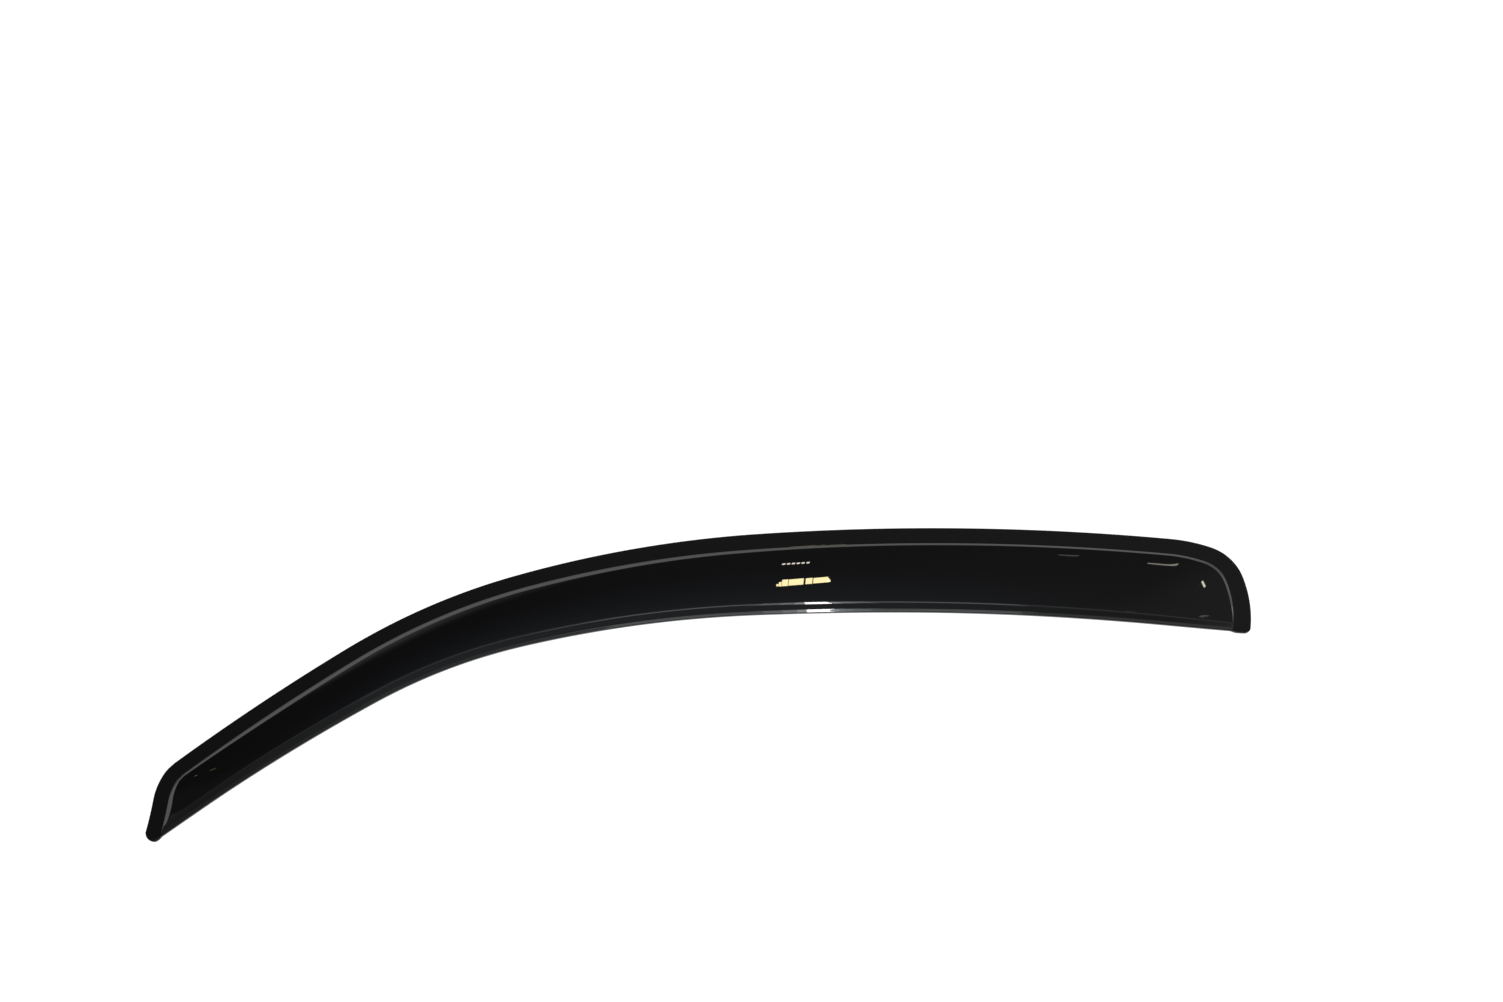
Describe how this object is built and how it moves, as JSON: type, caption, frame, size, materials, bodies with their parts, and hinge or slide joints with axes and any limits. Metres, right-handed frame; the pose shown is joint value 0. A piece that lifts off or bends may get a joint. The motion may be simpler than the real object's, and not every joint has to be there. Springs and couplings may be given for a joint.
{
  "type": "window rain deflector",
  "caption": "Moulded side-window rain deflector: flat bonding flange along the window frame, a small step, and a crowned glossy visor face with a turned-down lower lip.",
  "frame": {"origin": "middle of the outline's box in plan, on the plane of the flange's back face", "axes": "+X towards the rear of the car along the window, +Y up the window, +Z away from the glass"},
  "size_m": [1.0294, 0.3044, 0.0265],
  "materials": {
    "acrylic": "polished moulded acrylic, smoke black"
  },
  "bodies": {
    "root": {"deflector": "acrylic"}
  },
  "joints": []
}
